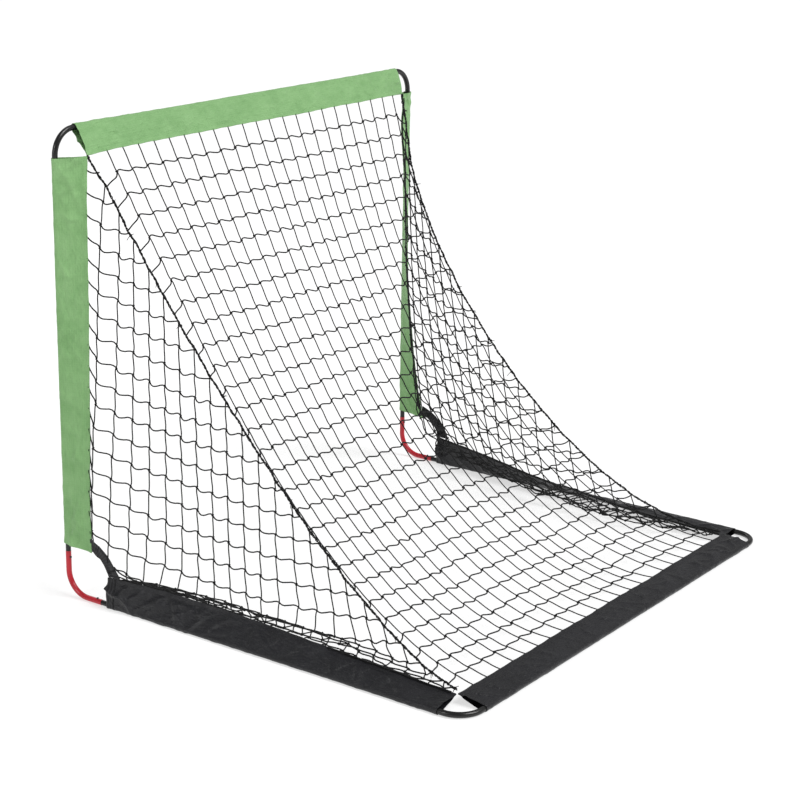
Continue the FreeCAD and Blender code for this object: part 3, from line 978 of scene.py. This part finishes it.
def lacing(side, sign, seed):
    """A doubled cord whipped along the shared edge, with knots whose cut ends stick out."""
    random = np.random.default_rng(seed)
    share = np.linspace(0, 1, LACING_POINTS)
    nought = share * 0
    line = mirrored(laced(share), sign)
    line = line + (top_corner(sign) - line[0]) * np.exp(-((share / 0.03) ** 2))[:, None]
    length = np.linalg.norm(np.diff(line, axis=0), axis=1).sum()
    tangent = unit(np.gradient(line, axis=0))
    across = unit(np.cross(tangent, X))
    beside = np.cross(across, tangent)
    rolls = [np.stack([share * 40, nought + k, nought], -1) for k in (0, 5)]
    wander = np.stack([noise_at(roll, seed) for roll in rolls], -1)
    line = line + (across * wander[:, :1] + beside * wander[:, 1:]) * 0.0022
    sweeps = []
    for strand, (radius, pitch, size) in enumerate(LACING_STRANDS):
        angle = 2 * np.pi * (length / pitch) * share + strand * np.pi + wander[:, 0] * 1.2
        bulges = noise_at(np.stack([share * 90, nought + strand, nought], -1), seed + 2)
        spread = radius * (1 + 0.35 * bulges)
        way = np.cos(angle)[:, None] * across + np.sin(angle)[:, None] * beside
        path = line + way * spread[:, None]
        sweeps.append(sweep(path[None], size, 6))
    places = np.cumsum(random.uniform(0.03, 0.09, 24))
    places = np.concatenate([[0.004], places[places < 0.985], [0.996]])
    for place in places:
        index = int(place * (LACING_POINTS - 1))
        sweeps.append(tie(line[index], tangent[index], across[index], beside[index], random))
        for _ in range(2):
            sweeps.append(cut_end(line[index], tangent[index], across[index], beside[index], random))
    return dressed(joined(f"lacing_{side}", sweeps, LACING), "lacing", f"lacing_cord_{side}")


def tie(at, along, across, beside, random):
    """Turns of cord pulled tight round the lacing."""
    t = np.linspace(0, 1, 34)
    angle = 2 * np.pi * TIE_TURNS * t + random.uniform(0, 6)
    radius = TIE_RADIUS * np.sin(np.pi * np.clip(t, 0.08, 0.92)) ** 0.4
    path = at + along * ((t - 0.5) * TIE_LENGTH)[:, None]
    way = np.cos(angle)[:, None] * across + np.sin(angle)[:, None] * beside
    return sweep((path + way * radius[:, None])[None], TIE_CORD, 6)


def cut_end(at, along, across, beside, random):
    """A short tail of cord that springs out of a knot."""
    way = random.normal(0, 1, 3)
    way = unit(across * way[0] + beside * way[1] + along * way[2] * 0.6)
    t = np.linspace(0, 1, 8)[:, None]
    tail = random.uniform(0.007, 0.013)
    path = at + way * t * tail - Z * t**2 * tail * random.uniform(0.1, 0.7)
    return sweep(path[None], np.linspace(0.0010, 0.0007, 8), 6)


def corner_band(side, sign):
    """Binding tape folded over the net's cut corner, between the post and side sleeves."""
    low, high = band_edges(sign)
    rows, columns = BAND_ROWS, BAND_COLUMNS
    lower, upper = arc(*low, rows), arc(*high, rows)
    t = np.linspace(0, 1, columns)[None, :, None]
    points = lower[:, None] * (1 - t) + upper[:, None] * t
    crown = np.sin(np.pi * t[..., 0]) ** 0.5
    along = np.linspace(0, 1, rows)[:, None]
    over = t[..., 0]
    places = np.stack(np.broadcast_arrays(along * 7, over * 3, along * over), -1)
    ripple = 0.0016 * noise_at(places, 21 + sign)
    fold = 0.0016 * np.exp(-(((along - 0.93) / 0.05) ** 2))
    fold = fold + 0.0012 * np.exp(-(((along - 0.06) / 0.05) ** 2))
    points[..., 0] += (crown * 0.0006 + ripple + fold) * -1.0
    points = mirrored(points, sign)
    width = np.linalg.norm(upper - lower, axis=1).mean()
    length = np.linalg.norm(np.diff((lower + upper) / 2, axis=0), axis=1).sum()
    quads, places = grid_faces(rows, columns, False)
    corner_uvs = places / np.array([rows - 1, columns - 1]) * np.array([length, width])
    piece = make_piece(f"corner_band_{side}_tape", points.reshape(-1, 3), [quads], corner_uvs, TAPE)
    thickened(piece, BAND_THICKNESS, 2)
    dressed(piece, "binding", f"corner_band_{side}")
    for row, column in (("low", 1), ("high", columns - 2)):
        line = points[:, column]
        lift = np.tile(X * 0.0009, (rows, 1))
        thread = stitches(f"corner_band_{side}_{row}_stitching", line, lift, BLACK_THREAD)
        dressed(thread, "binding")


# ---- Studio --------------------------------------------------------------------------------


def area_light(name, place, target, size, power):
    light = bpy.data.lights.new(name, "AREA")
    light.shape = "RECTANGLE"
    light.size, light.size_y = size
    light.energy = power
    lamp = bpy.data.objects.new(name, light)
    lamp.location = place
    lamp.rotation_euler = (Vector(target) - Vector(place)).to_track_quat("-Z", "Y").to_euler()
    bpy.context.scene.collection.objects.link(lamp)


def studio():
    """A pale floor, a white surround and large soft lights."""
    floor_material = Shader("pale_floor")
    grain = floor_material.noise(floor_material.coordinates("Object", (1, 1, 1)), 30.0, 2.0)
    colour = floor_material.ramp(grain, [(0.0, (0.40, 0.40, 0.40)), (1.0, (0.44, 0.44, 0.44))])
    floor_material.set(Roughness=0.9, Specular_IOR_Level=0.1, Emission_Strength=0.62)
    floor_material.set(Emission_Color=(1, 1, 1, 1))
    bpy.ops.mesh.primitive_plane_add(size=60, location=(0, 0, 0))
    floor = bpy.context.object
    floor.name = "studio_floor"
    floor.data.materials.append(floor_material.finish(colour))
    world = bpy.data.worlds.new("studio_surround")
    world.use_nodes = True
    world.node_tree.nodes["Background"].inputs["Color"].default_value = (1, 1, 1, 1)
    world.node_tree.nodes["Background"].inputs["Strength"].default_value = 0.38
    bpy.context.scene.world = world
    bpy.context.scene.view_settings.view_transform = "Standard"
    middle = (0, 0, 0.5)
    area_light("side", (4.2, -1.0, 2.2), middle, (1.0, 1.6), 35)
    area_light("mouth", (-1.5, -4.2, 2.6), middle, (2.4, 2.0), 25)
    key = bpy.data.lights.new("key", "SUN")
    key.energy, key.angle = 2.5, math.radians(34)
    lamp = bpy.data.objects.new("key", key)
    lamp.rotation_euler = Vector((-0.15, 0.6, 0.8)).to_track_quat("Z", "Y").to_euler()
    bpy.context.scene.collection.objects.link(lamp)


def camera():
    """Looks over the right rear corner, from a little above the top bar."""
    turn, tilt, roll = math.radians(125.51), math.radians(16.88), math.radians(0.876)
    distance, right_shift, up_shift = 4.984, -0.0778, -0.0610
    back = Vector((math.sin(turn) * math.cos(tilt), -math.cos(turn) * math.cos(tilt), math.sin(tilt)))
    right = Vector((math.cos(turn), math.sin(turn), 0))
    up = back.cross(right)
    data = bpy.data.cameras.new("camera")
    data.sensor_width = 36.0
    data.lens = 91.75
    viewer = bpy.data.objects.new("camera", data)
    level_right = math.cos(roll) * right + math.sin(roll) * up
    level_up = -math.sin(roll) * right + math.cos(roll) * up
    axes = Matrix((level_right, level_up, back)).transposed().to_4x4()
    place = Vector((0, 0, 0.5)) + back * distance + right * right_shift + up * up_shift
    viewer.matrix_world = Matrix.Translation(place) @ axes
    bpy.context.scene.collection.objects.link(viewer)
    bpy.context.scene.camera = viewer


paint_frame()
make_sleeves()
back_net()
for number, (side, sign) in enumerate(SIDES):
    side_net(side, sign, 31 + number)
    lacing(side, sign, 41 + number)
    corner_band(side, sign)
studio()
camera()
